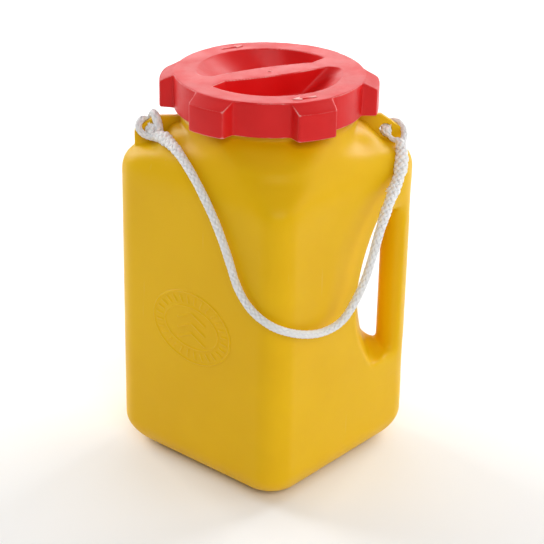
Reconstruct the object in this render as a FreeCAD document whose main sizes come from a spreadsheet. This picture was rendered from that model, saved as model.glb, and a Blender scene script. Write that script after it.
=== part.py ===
"""Square wide-mouth container with a screw cap, a sealing ring and a rope lanyard.

Millimetres, +Z up. The origin is the middle of the base. The corners of the square
point along X and Y: both lugs lie in the XZ plane, and the handle is the corner at +X.
"""
import FreeCAD, Part
import math
import os
import re

import Sketcher
from FreeCAD import Placement, Rotation, Vector

DIMENSIONS = [
    # moulded body
    ("face_width", 180.0, "width across two opposite flat faces"),
    ("corner_round", 21.0, "plan radius of the front and back corners"),
    ("side_round", 25.0, "plan radius of the two corners on the parting plane"),
    ("base_round", 25.0, "radius where the faces turn into the base"),
    ("base_corner", 27.0, "plan radius of all corners at the base"),
    ("wall", 2.6, "wall thickness of the body"),
    ("push_up", 3.0, "depth of the raised panel in the base"),
    ("push_up_width", 112.0, "width of the raised panel in the base"),
    ("shoulder_start", 250.0, "height where the faces start to turn into the shoulder"),
    # neck
    ("neck_radius", 68.5, "outside of the neck"),
    ("mouth_radius", 64.0, "inside of the neck"),
    ("rim_height", 319.6, "height of the rim"),
    ("thread_pitch", 8.0, "lift of the cap in one turn"),
    ("thread_depth", 2.2, "radial height of both threads"),
    ("thread_turns", 1.25, "length of both threads in turns"),
    ("neck_thread_start", 302.0, "height of the middle of the neck thread at its start"),
    # handle
    ("eye_left", 76.3, "inner edge of the handle opening at the parting plane"),
    ("eye_bottom", 90.5, "lower edge of the opening at the parting plane"),
    ("eye_top", 213.0, "upper edge of the opening at the parting plane"),
    ("mouth_left", 67.8, "inner edge of the opening where it meets a face"),
    ("mouth_bottom", 80.0, "lower edge of the opening where it meets the front face"),
    ("back_mouth_bottom", 60.5, "the same at the back, where the floor falls more steeply"),
    ("mouth_top", 221.0, "upper edge of the opening where it meets a face"),
    ("mouth_depth", 60.0, "distance from the parting plane of the mouth outline"),
    ("eye_waist", 146.0, "height where the opening is deepest"),
    ("eye_outer", 130.0, "outer end of the opening form, beyond the body"),
    ("grip_centre", 109.0, "distance of the middle of the grip's oval from the middle"),
    ("grip_width", 30.0, "length of that oval along X, cut off by the corner of the body"),
    ("grip_depth", 34.0, "grip thickness along Y"),
    # lugs
    ("lug_reach", 106.5, "outer edge of a lug"),
    ("lug_top", 290.0, "upper edge of a lug"),
    ("lug_thickness", 5.0, "thickness of a lug"),
    ("lug_hole_x", 93.5, "lug hole from the middle"),
    ("lug_hole_z", 277.5, "height of a lug hole"),
    ("lug_hole_radius", 4.6, "radius of a lug hole"),
    # raised oval on the front left face
    ("badge_height", 134.0, "height of the middle of the oval"),
    ("badge_width", 83.0, "width of the oval along the face"),
    ("badge_depth", 68.0, "height of the oval"),
    ("badge_relief", 0.7, "how far it stands out"),
    ("badge_line", 1.3, "width of its rings"),
    # cap
    ("cap_bottom", 298.3, "lower edge of the skirt with the cap closed"),
    ("cap_top", 325.8, "flat top of the cap"),
    ("cap_plate", 3.0, "thickness of the top plate and of the pocket walls"),
    ("lobe_radius", 85.1, "outside of the lobes"),
    ("lobe_edge", 319.6, "height where a lobe starts to slope inwards"),
    ("skirt_radius", 75.6, "outside of the skirt between the lobes"),
    ("skirt_inside", 71.3, "inside of the skirt"),
    ("gap_half_width", 21.5, "half the width of a gap between lobes at the skirt"),
    ("gap_flare", 40.8, "slope of a gap's sides in degrees"),
    ("lobe_turn", -128.7, "direction of the first lobe in degrees"),
    ("grip_bar_turn", 21.0, "direction of the cap's grip bar in degrees"),
    ("grip_bar_middle", 11.0, "half the width of the grip bar at its middle"),
    ("grip_bar_end", 7.6, "half the width of the grip bar near its ends"),
    ("pocket_radius", 57.5, "outer edge of the two finger pockets"),
    ("pocket_depth", 18.0, "depth of the finger pockets"),
    ("arrow_radius", 66.5, "distance of the two raised arrows from the middle"),
    # sealing ring
    ("gasket_inside", 62.0, "inner radius of the sealing ring"),
    ("gasket_outside", 69.3, "outer radius of the sealing ring"),
    # rope
    ("rope_radius", 3.2, "radius of the rope between its two spliced ends"),
    ("eye_rope_radius", 2.9, "radius of the rope in the two eyes"),
    ("splice_radius", 4.8, "radius where the rope's tail is tucked inside it"),
    ("left_eye_radius", 6.9, "radius of the left eye, to the middle of the rope"),
    ("right_eye_radius", 8.3, "radius of the right eye, to the middle of the rope"),
]

doc = FreeCAD.newDocument("square_container")
sheet = doc.addObject("Spreadsheet::Sheet", "dims")
sheet.set("A1", "driving dimension")
sheet.set("B1", "mm")
for row, (alias, value, note) in enumerate(DIMENSIONS, start=2):
    sheet.set("A%d" % row, note)
    sheet.set("B%d" % row, str(value))
    sheet.setAlias("B%d" % row, alias)
doc.recompute()


ALIASES = [alias for alias, value, note in DIMENSIONS]


def in_document(expression):
    """Write the sheet's name before each alias, as expressions outside the sheet need."""
    return re.sub(r"[a-z_]+", lambda word: "dims." + word[0] if word[0] in ALIASES else word[0],
                  str(expression))


def bind(thing, **expressions):
    """Tie properties to sheet expressions; a double underscore stands for a dot."""
    for path, expression in expressions.items():
        thing.setExpression(path.replace("__", "."), in_document(expression))


def value_of(expression):
    """Number that a sheet expression gives now, used to place sketch geometry."""
    return float(sheet.evalExpression(str(expression)))


def make(kind, name, **expressions):
    """Add a document object of the Part workbench with sizes tied to the sheet."""
    thing = doc.addObject(kind, name)
    bind(thing, **expressions)
    return thing


def combine(kind, name, base, tool):
    """Part::Cut of a tool from a base, or the Part::Fuse or Part::Common of the two."""
    thing = doc.addObject(kind, name)
    thing.Base = base
    thing.Tool = tool
    return thing


def loft(name, sections, ruled=False):
    """Solid loft through a list of sketches."""
    thing = doc.addObject("Part::Loft", name)
    thing.Sections = sections
    thing.Solid = True
    thing.Ruled = ruled
    return thing


def arc_between(centre, start, end):
    """Sketch arc drawn the short way round from start to end, about a centre."""
    first = math.atan2(start.y - centre.y, start.x - centre.x)
    last = math.atan2(end.y - centre.y, end.x - centre.x)
    radius = start.distanceToPoint(centre)
    circle = Part.Circle(centre, Vector(0, 0, 1), radius)
    if (last - first) % (2 * math.pi) > math.pi:
        first, last = last, first
    return Part.ArcOfCircle(circle, first, last)


def nearest_end(sketch, edge, point):
    """Number of the end, 1 or 2, of a sketch edge that lies nearest to a point."""
    gaps = [sketch.getPoint(edge, end).distanceToPoint(point) for end in (1, 2)]
    return 1 + gaps.index(min(gaps))


def close_outline(sketch, edges, corners, smooth):
    """Join edge k to edge k + 1 at corners[k]: tangent where smooth[k], else coincident."""
    for k, corner in enumerate(corners):
        here, following = edges[k], edges[(k + 1) % len(edges)]
        joint = "Tangent" if smooth[k] else "Coincident"
        sketch.addConstraint(Sketcher.Constraint(
            joint, here, nearest_end(sketch, here, corner),
            following, nearest_end(sketch, following, corner)))


def polygon(sketch, points):
    """Closed outline of straight lines through points in turn; returns the lines."""
    after = points[1:] + points[:1]
    edges = [sketch.addGeometry(Part.LineSegment(*ends)) for ends in zip(points, after)]
    close_outline(sketch, edges, after, [False] * len(points))
    return edges


def hold(sketch, expression, *constraint):
    """Add one constraint that has a size and tie that size to the sheet."""
    size = value_of(expression)
    if constraint[0] == "Angle":
        size = math.radians(size)
    index = sketch.addConstraint(Sketcher.Constraint(*constraint, size))
    sketch.setExpression("Constraints[%d]" % index, in_document(expression))


# ---------------------------------------------------------------- moulded body


def rounded_square(name, level, half, corner, side_corner):
    """Rounded square at a height, standing on its corner: edge order is the same in all."""
    sketch = make("Sketcher::SketchObject", name, Placement__Base__z=level)
    sketch.Placement = Placement(Vector(0, 0, value_of(level)), Rotation(Vector(0, 0, 1), 45))
    size = value_of(half)
    # corner centres in turn: back, left, front, and right with the handle
    turns = [(1, 1, corner), (-1, 1, side_corner), (-1, -1, corner), (1, -1, side_corner)]
    edges = []
    joints = []
    for k, (across, along, rounding) in enumerate(turns):
        radius = value_of(rounding)
        centre = Vector(across * (size - radius), along * (size - radius), 0)
        flank_x = centre + Vector(across * radius, 0, 0)
        flank_y = centre + Vector(0, along * radius, 0)
        start, end = (flank_x, flank_y) if k % 2 == 0 else (flank_y, flank_x)
        edges.append(sketch.addGeometry(arc_between(centre, start, end)))
        joints.append((start, end))
    order = []
    corners = []
    for k, arc in enumerate(list(edges)):
        line = Part.LineSegment(joints[k][1], joints[(k + 1) % 4][0])
        order += [arc, sketch.addGeometry(line)]
        corners += [joints[k][1], joints[(k + 1) % 4][0]]
    close_outline(sketch, order, corners, [True] * 8)
    for k, (across, along, rounding) in enumerate(turns):
        hold(sketch, rounding, "Radius", order[2 * k])
        side = order[2 * k + 1]
        level_side = k % 2 == 0
        sketch.addConstraint(Sketcher.Constraint("Horizontal" if level_side else "Vertical", side))
        kind = "DistanceY" if level_side else "DistanceX"
        sign = "" if (along if level_side else across) > 0 else "-"
        hold(sketch, "%s(%s)" % (sign, half), kind, -1, 1, side, 1)
    return sketch


def base_sections(prefix, inset):
    """Sections of the quarter-round base, from the ground up, moved in by an inset."""
    sections = []
    for step in range(5):
        angle = 22.5 * step
        radius = "(base_round - %s)" % inset
        swing = "(1 - cos(%g deg))" % angle
        half = "face_width / 2 - base_round + %s * cos(%g deg)" % (radius, angle)
        level = "base_round - %s * sin(%g deg)" % (radius, angle)
        front = "corner_round + (base_corner - corner_round) * %s - %s" % (swing, inset)
        side = "side_round + (base_corner - side_round) * %s - %s" % (swing, inset)
        sections.append(rounded_square(
            "%s_base_%d" % (prefix, step), level, half, front, side))
    return sections[::-1]


# shoulder, from the faces up to the neck: height above the shoulder's start, how far each
# face has moved in, plan radii of the front and back corners and of the two on the parting
# plane, and how much of the wall is taken off sideways and downwards to get the inside
SHOULDER = [
    (-6.0, 0.0, "corner_round", "side_round", 1.0, 0.0),
    (-2.0, 0.05, "corner_round", "side_round", 1.0, 0.3),
    (12.0, 4.0, "35", "28", 0.9, 0.6),
    (20.0, 8.0, "46", "60", 0.8, 0.8),
    (42.0, 20.0, "69", "69", 1.6, 0.8),
]


def shoulder_sections(prefix, inset):
    """Sections of the shoulder, from the square body to the round neck."""
    sections = []
    for step, (rise, moved, front, side, sideways, down) in enumerate(SHOULDER):
        side_inset = "%s * %g" % (inset, sideways)
        half = "face_width / 2 - %g - %s" % (moved, side_inset)
        level = "shoulder_start + %g - %s * %g" % (rise, inset, down)
        sections.append(rounded_square(
            "%s_shoulder_%d" % (prefix, step), level, half,
            "%s - %s" % (front, side_inset), "%s - %s" % (side, side_inset)))
    return sections


def solid_form(prefix, inset):
    """The plain closed form of the body up to the neck, moved in by an inset."""
    base = base_sections(prefix, inset)
    shoulder = shoulder_sections(prefix, inset)
    foot = loft(prefix + "_foot", base)
    middle = loft(prefix + "_middle", [base[-1], shoulder[0]], ruled=True)
    top = loft(prefix + "_top", shoulder)
    lower = combine("Part::Fuse", prefix + "_lower", foot, middle)
    return combine("Part::Fuse", prefix + "_form", lower, top)


form_outside = solid_form("outside", "0")
form_inside = solid_form("inside", "wall")


def opening_outline(name, plane, grow, left, bottom, top, radii):
    """Outline of the handle opening on a plane along XZ, grown by a wall where needed.

    It runs from the top line round the hollow left side to the bottom line, and closes
    beyond the body at the right. radii: upper side, lower side, upper and lower corner.
    """
    sketch = make("Sketcher::SketchObject", name, Placement__Base__y=plane)
    upright = Rotation(Vector(1, 0, 0), 90)
    sketch.Placement = Placement(Vector(0, value_of(plane), 0), upright)
    left = "%s - %s" % (left, grow)
    bottom = "%s - %s" % (bottom, grow)
    top = "%s + %s" % (top, grow)
    upper, lower, high_corner, low_corner = ["%s + %s" % (radius, grow) for radius in radii]
    waist = value_of("eye_waist")
    outer = value_of("eye_outer")

    def side(edge, big, small):
        """Centres and meeting points of a side arc and of the corner next to it."""
        rise = value_of(edge) - waist
        big, small = value_of(big), value_of(small)
        middle = Vector(value_of(left) + big, waist, 0)
        step = abs(rise) - small
        reach = math.sqrt((big - small) ** 2 - step ** 2)
        corner = Vector(middle.x - reach, waist + math.copysign(step, rise), 0)
        on_line = Vector(corner.x, value_of(edge), 0)
        on_side = middle + (corner - middle) * (big / (big - small))
        return middle, corner, on_line, on_side

    high_middle, high_centre, high_line, high_side = side(top, upper, high_corner)
    low_middle, low_centre, low_line, low_side = side(bottom, lower, low_corner)
    deepest = Vector(value_of(left), waist, 0)
    top_right = Vector(outer, value_of(top), 0)
    bottom_right = Vector(outer, value_of(bottom), 0)
    pieces = [
        Part.LineSegment(top_right, high_line),
        arc_between(high_centre, high_line, high_side),
        arc_between(high_middle, high_side, deepest),
        arc_between(low_middle, deepest, low_side),
        arc_between(low_centre, low_side, low_line),
        Part.LineSegment(low_line, bottom_right),
        Part.LineSegment(bottom_right, top_right),
    ]
    edges = [sketch.addGeometry(piece) for piece in pieces]
    meetings = [high_line, high_side, deepest, low_side, low_line, bottom_right, top_right]
    close_outline(sketch, edges, meetings, [True] * 5 + [False] * 2)
    for edge, direction in ((0, "Horizontal"), (5, "Horizontal"), (6, "Vertical")):
        sketch.addConstraint(Sketcher.Constraint(direction, edges[edge]))
    for edge, radius in ((1, high_corner), (2, upper), (3, lower), (4, low_corner)):
        hold(sketch, radius, "Radius", edges[edge])
    hold(sketch, "eye_outer", "DistanceX", -1, 1, edges[6], 1)
    hold(sketch, top, "DistanceY", -1, 1, edges[0], 1)
    hold(sketch, bottom, "DistanceY", -1, 1, edges[5], 1)
    waist_end = nearest_end(sketch, edges[2], deepest)
    hold(sketch, left, "DistanceX", -1, 1, edges[2], waist_end)
    hold(sketch, "eye_waist", "DistanceY", -1, 1, edges[2], waist_end)
    sketch.addConstraint(Sketcher.Constraint("Horizontal", edges[2], waist_end, edges[2], 3))
    return sketch


def opening_form(prefix, grow):
    """Solid that hollows out the handle corner: waisted at the parting plane."""
    front_size = ("mouth_left", "mouth_bottom", "mouth_top", ["175", "125", "6", "4"])
    eye_size = ("eye_left", "eye_bottom", "eye_top", ["175", "1500", "10", "20"])
    back_size = ("mouth_left", "back_mouth_bottom", "mouth_top", ["175", "250", "6", "4"])
    outlines = [
        opening_outline(prefix + "_front", "-mouth_depth", grow, *front_size),
        opening_outline(prefix + "_middle", "0", grow, *eye_size),
        opening_outline(prefix + "_back", "mouth_depth", grow, *back_size),
    ]
    return loft(prefix + "_form", outlines, ruled=True)


def bar_form(name, width, depth, bottom, top):
    """Upright bar of elliptical section on the grip's centre line."""
    section = make("Part::Ellipse", name + "_section", MajorRadius=depth + " / 2",
                   MinorRadius=width + " / 2")
    section.Placement = Placement(Vector(), Rotation(Vector(0, 0, 1), 90))
    bind(section, Placement__Base__x="grip_centre", Placement__Base__z=bottom)
    bar = make("Part::Extrusion", name, LengthFwd="%s - (%s)" % (top, bottom))
    bar.Base = section
    bar.DirMode = "Custom"
    bar.Dir = Vector(0, 0, 1)
    bar.Solid = True
    return bar


eye_form = opening_form("eye", "0")
eye_inside = opening_form("eye_inside", "wall")
grip_form = bar_form("grip", "grip_width", "grip_depth", "back_mouth_bottom - 4", "eye_top + 14")
grip_inside = bar_form("grip_inside", "(grip_width - 2 * wall)", "(grip_depth - 2 * wall)",
                       "back_mouth_bottom - 4", "eye_top + 14")


def cylinder(name, radius, bottom, top):
    """Upright cylinder about the Z axis."""
    return make("Part::Cylinder", name, Radius=radius, Height="%s - (%s)" % (top, bottom),
                Placement__Base__z=bottom)


def extrude(name, sketch, length, both_ways=False):
    """Solid extrusion along the sketch's own normal."""
    thing = make("Part::Extrusion", name, LengthFwd=length)
    thing.Base = sketch
    thing.DirMode = "Normal"
    thing.Solid = True
    thing.Symmetric = both_ways
    return thing


def fuse_all(name, shapes):
    """Join shapes one after another."""
    whole = shapes[0]
    for step, shape in enumerate(shapes[1:], start=1):
        last = step == len(shapes) - 1
        whole = combine("Part::Fuse", name if last else "%s_%d" % (name, step), whole, shape)
    return whole


def cut_all(name, base, tools):
    """Cut tools from a base one after another."""
    whole = base
    for step, tool in enumerate(tools, start=1):
        last = step == len(tools)
        whole = combine("Part::Cut", name if last else "%s_%d" % (name, step), whole, tool)
    return whole


def thread(name, start_level, start_turn, root, crest):
    """One thread: a helix of trapezoid section from the root radius to the crest radius."""
    sketch = make("Sketcher::SketchObject", name + "_section")
    sketch.Placement = Placement(Vector(), Rotation(Vector(1, 0, 0), 90))
    flanks = [(root, "-2.5"), (crest, "-1.1"), (crest, "1.1"), (root, "2.5")]
    points = [Vector(value_of(radius), value_of(height), 0) for radius, height in flanks]
    edges = polygon(sketch, points)
    for edge, (radius, height) in zip(edges, flanks):
        hold(sketch, radius, "DistanceX", -1, 1, edge, 1)
        hold(sketch, height, "DistanceY", -1, 1, edge, 1)
    spine = make("Part::Helix", name + "_spine", Pitch="thread_pitch",
                 Height="thread_pitch * thread_turns", Radius=root)
    ridge = doc.addObject("Part::Sweep", name)
    ridge.Sections = [sketch]
    ridge.Spine = (spine, ["Edge1"])
    ridge.Solid = True
    ridge.Frenet = True
    ridge.Placement = Placement(Vector(), Rotation(Vector(0, 0, 1), value_of(start_turn)))
    bind(ridge, Placement__Base__z=start_level)
    return ridge


def lug(name, side):
    """Upright plate on the shoulder at one end of the parting plane."""
    sketch = make("Sketcher::SketchObject", name + "_section")
    sketch.Placement = Placement(Vector(), Rotation(Vector(1, 0, 0), 90))
    outline = [
        ("neck_radius - 2", "shoulder_start + 6"),
        ("lug_reach", "shoulder_start + 6"),
        ("lug_reach", "lug_top - 11.4"),
        ("lug_reach - 16", "lug_top"),
        ("neck_radius - 2", "lug_top"),
    ]
    edges = polygon(sketch, [Vector(side * value_of(x), value_of(z), 0) for x, z in outline])
    for edge, (x, z) in zip(edges, outline):
        hold(sketch, "%d * (%s)" % (side, x), "DistanceX", -1, 1, edge, 1)
        hold(sketch, z, "DistanceY", -1, 1, edge, 1)
    return extrude(name, sketch, "lug_thickness", both_ways=True)


def lug_hole(name, side):
    """Pin along Y that cuts the rope hole of a lug."""
    pin = make("Part::Cylinder", name, Radius="lug_hole_radius", Height="lug_thickness * 3")
    pin.Placement = Placement(Vector(), Rotation(Vector(1, 0, 0), 90))
    bind(pin, Placement__Base__x="%d * lug_hole_x" % side, Placement__Base__z="lug_hole_z",
         Placement__Base__y="lug_thickness * 1.5")
    return pin


def push_up_form(prefix, inset):
    """Low block that raises the middle of the base, grown by an inset."""
    half = "push_up_width / 2 + %s" % inset
    low = rounded_square(prefix + "_low", "-1", half, "18", "18")
    high = rounded_square(prefix + "_high", "push_up + %s" % inset, half + " - push_up",
                          "15", "15")
    return loft(prefix, [low, high], ruled=True)


hollowed = combine("Part::Cut", "hollowed", form_outside, eye_form)
grip_trimmed = combine("Part::Common", "grip_trimmed", grip_form, form_outside)
outside_with_grip = combine("Part::Fuse", "outside_with_grip", hollowed, grip_trimmed)
inside_hollowed = combine("Part::Cut", "inside_hollowed", form_inside, eye_inside)
inside_grip = combine("Part::Common", "inside_grip", grip_inside, form_inside)
inside_with_grip = combine("Part::Fuse", "inside_with_grip", inside_hollowed, inside_grip)
cavity = cut_all("cavity", inside_with_grip, [push_up_form("push_up_inside", "wall")])
neck = cylinder("neck", "neck_radius", "shoulder_start + 36", "rim_height")
mouth = cylinder("mouth", "mouth_radius", "shoulder_start + 36", "rim_height + 1")
neck_thread = thread("neck_thread", "neck_thread_start", "0", "neck_radius - 0.4",
                     "neck_radius + thread_depth")


# ---------------------------------------------------------------- raised oval

BADGE_SUNK = 1.0
TICKS = 28
badge_axes = Rotation(Vector(1, -1, 0), Vector(0, 0, 1), Vector(-1, -1, 0), "ZXY")


def on_badge(across, up, turn=0.0):
    """Placement on the front left face, sunk a little into the wall."""
    middle = Vector(-1, -1, 0) * (value_of("face_width / 2") - BADGE_SUNK) / math.sqrt(2)
    middle.z = value_of("badge_height")
    shift = badge_axes.multVec(Vector(across, up, 0))
    return Placement(middle + shift, badge_axes * Rotation(Vector(0, 0, 1), turn))


def badge_oval(name, width, height):
    """Solid oval plate of the badge."""
    oval = make("Part::Ellipse", name + "_section", MajorRadius=width + " / 2",
                MinorRadius=height + " / 2")
    oval.Placement = on_badge(0, 0)
    plate = make("Part::Extrusion", name, LengthFwd="badge_relief + %g" % BADGE_SUNK)
    plate.Base = oval
    plate.DirMode = "Custom"
    plate.Dir = badge_axes.multVec(Vector(0, 0, 1))
    plate.Solid = True
    return plate


def badge_ring(name, inset):
    """Raised oval line, an inset inside the edge of the badge."""
    width = "(badge_width - 2 * %g)" % inset
    height = "(badge_depth - 2 * %g)" % inset
    outer = badge_oval(name + "_outer", width, height)
    inner = badge_oval(name + "_inner", "(%s - 2 * badge_line)" % width,
                       "(%s - 2 * badge_line)" % height)
    return combine("Part::Cut", name, outer, inner)


def badge_bar(name, across, up, length, width, turn):
    """Raised straight bar with its middle at a place on the badge."""
    bar = make("Part::Box", name, Width=width, Length=length,
               Height="badge_relief + %g" % BADGE_SUNK)
    turned = Rotation(Vector(0, 0, 1), turn)
    corner = turned.multVec(Vector(-value_of(length) / 2, -value_of(width) / 2, 0))
    bar.Placement = on_badge(across + corner.x, up + corner.y, turn)
    return bar


badge_parts = [badge_ring("badge_edge", 0), badge_ring("badge_inner", 11.5)]
for step in range(TICKS):
    around = 2 * math.pi * step / TICKS
    tick_x = (value_of("badge_width") / 2 - 6.4) * math.cos(around)
    tick_y = (value_of("badge_depth") / 2 - 6.4) * math.sin(around)
    outward = math.degrees(math.atan2(tick_y, tick_x))
    badge_parts.append(badge_bar("badge_tick_%d" % step, tick_x, tick_y, "5", "1.6", outward))
for step, level in enumerate((-9, 0, 9)):
    badge_parts.append(badge_bar("badge_chevron_left_%d" % step, -7, level, "18", "2", 25))
    badge_parts.append(badge_bar("badge_chevron_right_%d" % step, 7, level, "18", "2", -25))
badge = doc.addObject("Part::MultiFuse", "badge")
badge.Shapes = badge_parts

outside_whole = fuse_all("outside_whole", [
    outside_with_grip, neck, lug("lug_left", -1), lug("lug_right", 1), neck_thread, badge])
container = cut_all("container", outside_whole, [
    cavity, mouth, lug_hole("lug_hole_left", -1), lug_hole("lug_hole_right", 1),
    push_up_form("push_up_outside", "0")])
container.Label = "container_body"


# ---------------------------------------------------------------- cap


def turned(thing, expression):
    """Turn a shape about the Z axis by an angle from the sheet."""
    base = thing.Placement.Base
    thing.Placement = Placement(base, Rotation(Vector(0, 0, 1), value_of(expression)))
    return thing


def gap_sketch():
    """Outline of one gap between two lobes, opening outwards along +X."""
    sketch = make("Sketcher::SketchObject", "gap_outline", Placement__Base__z="cap_bottom - 1")
    inner = value_of("skirt_radius")
    outer = value_of("lobe_radius + 8")
    half_width = value_of("gap_half_width")
    slope = math.radians(value_of("gap_flare"))
    near = Vector(math.sqrt(inner ** 2 - half_width ** 2), half_width, 0)
    along = Vector(math.cos(slope), math.sin(slope), 0)
    # where the side meets the outer circle
    shadow = near.dot(along)
    far = near + along * (math.sqrt(shadow ** 2 + outer ** 2 - inner ** 2) - shadow)
    near_low, far_low = Vector(near.x, -near.y, 0), Vector(far.x, -far.y, 0)
    origin = Vector()
    edges = [sketch.addGeometry(piece) for piece in (
        arc_between(origin, near_low, near), Part.LineSegment(near, far),
        arc_between(origin, far_low, far), Part.LineSegment(far_low, near_low))]
    close_outline(sketch, edges, [near, far, far_low, near_low], [False] * 4)
    sketch.addConstraint(Sketcher.Constraint("Coincident", edges[0], 3, -1, 1))
    sketch.addConstraint(Sketcher.Constraint("Coincident", edges[2], 3, -1, 1))
    hold(sketch, "skirt_radius", "Radius", edges[0])
    hold(sketch, "lobe_radius + 8", "Radius", edges[2])
    hold(sketch, "gap_half_width", "DistanceY", -1, 1, edges[1], 1)
    hold(sketch, "-gap_half_width", "DistanceY", -1, 1, edges[3], 2)
    hold(sketch, "gap_flare", "Angle", edges[1])
    sketch.addConstraint(Sketcher.Constraint("Equal", edges[1], edges[3]))
    return sketch


def edges_where(shape, radius, test):
    """Fillet list, (number, radius, radius), of the edges whose middle passes a test."""
    chosen = []
    for number, edge in enumerate(shape.Edges, start=1):
        middle = edge.valueAt((edge.FirstParameter + edge.LastParameter) / 2)
        if test(edge, middle):
            chosen.append((number, radius, radius))
    return chosen


def fillet(name, base, radius, test):
    """Round the edges of a finished shape that pass a test."""
    doc.recompute()
    rounded = doc.addObject("Part::Fillet", name)
    rounded.Base = base
    rounded.Edges = edges_where(base.Shape, radius, test)
    return rounded


lobe_ring = cylinder("lobe_ring", "lobe_radius", "cap_bottom", "lobe_edge")
lobe_slope = make("Part::Cone", "lobe_slope", Radius1="lobe_radius", Radius2="skirt_radius",
                  Height="cap_top - lobe_edge", Placement__Base__z="lobe_edge")
skirt_bore = cylinder("skirt_bore", "skirt_inside", "cap_bottom - 1", "cap_top - cap_plate")
blank = cut_all("cap_blank", combine("Part::Fuse", "cap_disc", lobe_ring, lobe_slope),
                [skirt_bore])
gap_outline = gap_sketch()
gaps = []
for step in range(6):
    gap = extrude("gap_%d" % step, gap_outline, "cap_top - cap_bottom + 2")
    gaps.append(turned(gap, "lobe_turn + 30 + 60 * %d" % step))
lobed = cut_all("cap_lobed", blank, gaps)


def upright_side(edge, middle):
    """True for the upright corners between the lobes and the skirt."""
    return edge.BoundBox.ZLength > 15 and math.hypot(middle.x, middle.y) > 73


softened = fillet("cap_softened", lobed, 1.8, upright_side)


# finger pockets: outlines in the bar's own directions, u along the bar and v across it

BAR_HALF = 41.0
BAR_SAG = "(grip_bar_middle - grip_bar_end)"
BAR_RADIUS = "((%g + %s ^ 2) / 2 / %s)" % (BAR_HALF ** 2, BAR_SAG, BAR_SAG)
# outer circle's centre u and v, its radius, radius of the rounded end, direction of the
# pointed end in degrees, u where the bar edge bends to it, and how far the bar has spread
POCKET_EDGE = ("0", "0", "pocket_radius", "9", "194.8", "-41", "0")
POCKET_FLOOR = ("-13", "-6.5", "pocket_radius - 19.5", "2.5", "190", "-40", "1")


def circles_meet(first, first_radius, second, second_radius):
    """Of the two points where circles cross, the one further along u."""
    span = second - first
    length = span.Length
    along = (length ** 2 + first_radius ** 2 - second_radius ** 2) / (2 * length)
    aside = math.sqrt(first_radius ** 2 - along ** 2)
    unit = span / length
    normal = Vector(-unit.y, unit.x, 0) * aside
    foot = first + unit * along
    return max(foot + normal, foot - normal, key=lambda point: point.x)


def pocket_outline(name, level, grow, half_turn, outline):
    """Outline of a finger pocket at its edge or floor, grown by the wall of its bowl."""
    centre_u, centre_v, radius, end_radius, tip_turn, bend, spread = outline
    bar_radius = "(%s + %s - %s)" % (BAR_RADIUS, spread, grow)
    bar_v = "(%s - grip_bar_middle)" % BAR_RADIUS
    radius = "(%s + %s)" % (radius, grow)
    end_radius = "(%s + %s)" % (end_radius, grow)
    sketch = make("Sketcher::SketchObject", name, Placement__Base__z=level)
    turn = value_of("grip_bar_turn") + half_turn
    sketch.Placement = Placement(Vector(0, 0, value_of(level)), Rotation(Vector(0, 0, 1), turn))
    bar_centre = Vector(0, value_of(bar_v), 0)
    centre = Vector(value_of(centre_u), value_of(centre_v), 0)
    bar, outer, end = value_of(bar_radius), value_of(radius), value_of(end_radius)
    end_centre = circles_meet(bar_centre, bar + end, centre, outer - end)
    on_bar = bar_centre + (end_centre - bar_centre) * (bar / (bar + end))
    on_outer = centre + (end_centre - centre) * (outer / (outer - end))
    # the pointed end turns a little further round as the outline grows
    tip_angle = math.radians(value_of("%s - 0.88 * %s" % (tip_turn, grow)))
    tip = centre + Vector(math.cos(tip_angle), math.sin(tip_angle), 0) * outer
    bend_u = value_of(bend)
    bend_point = Vector(bend_u, bar_centre.y - math.sqrt(bar ** 2 - bend_u ** 2), 0)
    first = math.atan2(tip.y - centre.y, tip.x - centre.x)
    last = math.atan2(on_outer.y - centre.y, on_outer.x - centre.x)
    pieces = [
        arc_between(bar_centre, bend_point, on_bar),
        arc_between(end_centre, on_bar, on_outer),
        Part.ArcOfCircle(Part.Circle(centre, Vector(0, 0, 1), outer), first, last),
        Part.LineSegment(tip, bend_point),
    ]
    edges = [sketch.addGeometry(piece) for piece in pieces]
    close_outline(sketch, edges, [on_bar, on_outer, tip, bend_point],
                  [True, True, False, False])
    hold(sketch, bar_radius, "Radius", edges[0])
    hold(sketch, end_radius, "Radius", edges[1])
    hold(sketch, radius, "Radius", edges[2])
    sketch.addConstraint(Sketcher.Constraint("PointOnObject", edges[0], 3, -2))
    hold(sketch, bar_v, "DistanceY", -1, 1, edges[0], 3)
    hold(sketch, centre_u, "DistanceX", -1, 1, edges[2], 3)
    hold(sketch, centre_v, "DistanceY", -1, 1, edges[2], 3)
    hold(sketch, bend, "DistanceX", -1, 1, edges[3], 2)
    hold(sketch, "%.6f" % tip.y, "DistanceY", -1, 1, edges[3], 1)
    return sketch


def pocket_form(name, grow, floor, edge, half_turn):
    """Solid of a finger pocket, or of its bowl when grown by the wall."""
    sections = [
        pocket_outline(name + "_floor", floor, grow, half_turn, POCKET_FLOOR),
        pocket_outline(name + "_edge", edge, grow, half_turn, POCKET_EDGE),
    ]
    return loft(name, sections, ruled=True)


bowls = []
pockets = []
for side, half_turn in (("front", 0), ("back", 180)):
    bowls.append(pocket_form("bowl_" + side, "cap_plate", "cap_top - pocket_depth - cap_plate",
                             "cap_top - cap_plate / 2", half_turn))
    pockets.append(pocket_form("pocket_" + side, "0", "cap_top - pocket_depth", "cap_top",
                               half_turn))

# hollows that keep the lobes' walls even, open below
hollows = []
for step in range(6):
    hollow = make("Part::Box", "lobe_hollow_%d" % step, Length="lobe_radius - 79.1", Width="24",
                  Height="lobe_edge - cap_bottom - 2")
    facing = Rotation(Vector(0, 0, 1), value_of("lobe_turn") + 60 * step)
    corner = facing.multVec(Vector(value_of("skirt_radius") - 0.4, -12, 0))
    corner.z = value_of("cap_bottom") - 1
    hollow.Placement = Placement(corner, facing)
    hollows.append(hollow)

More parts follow.
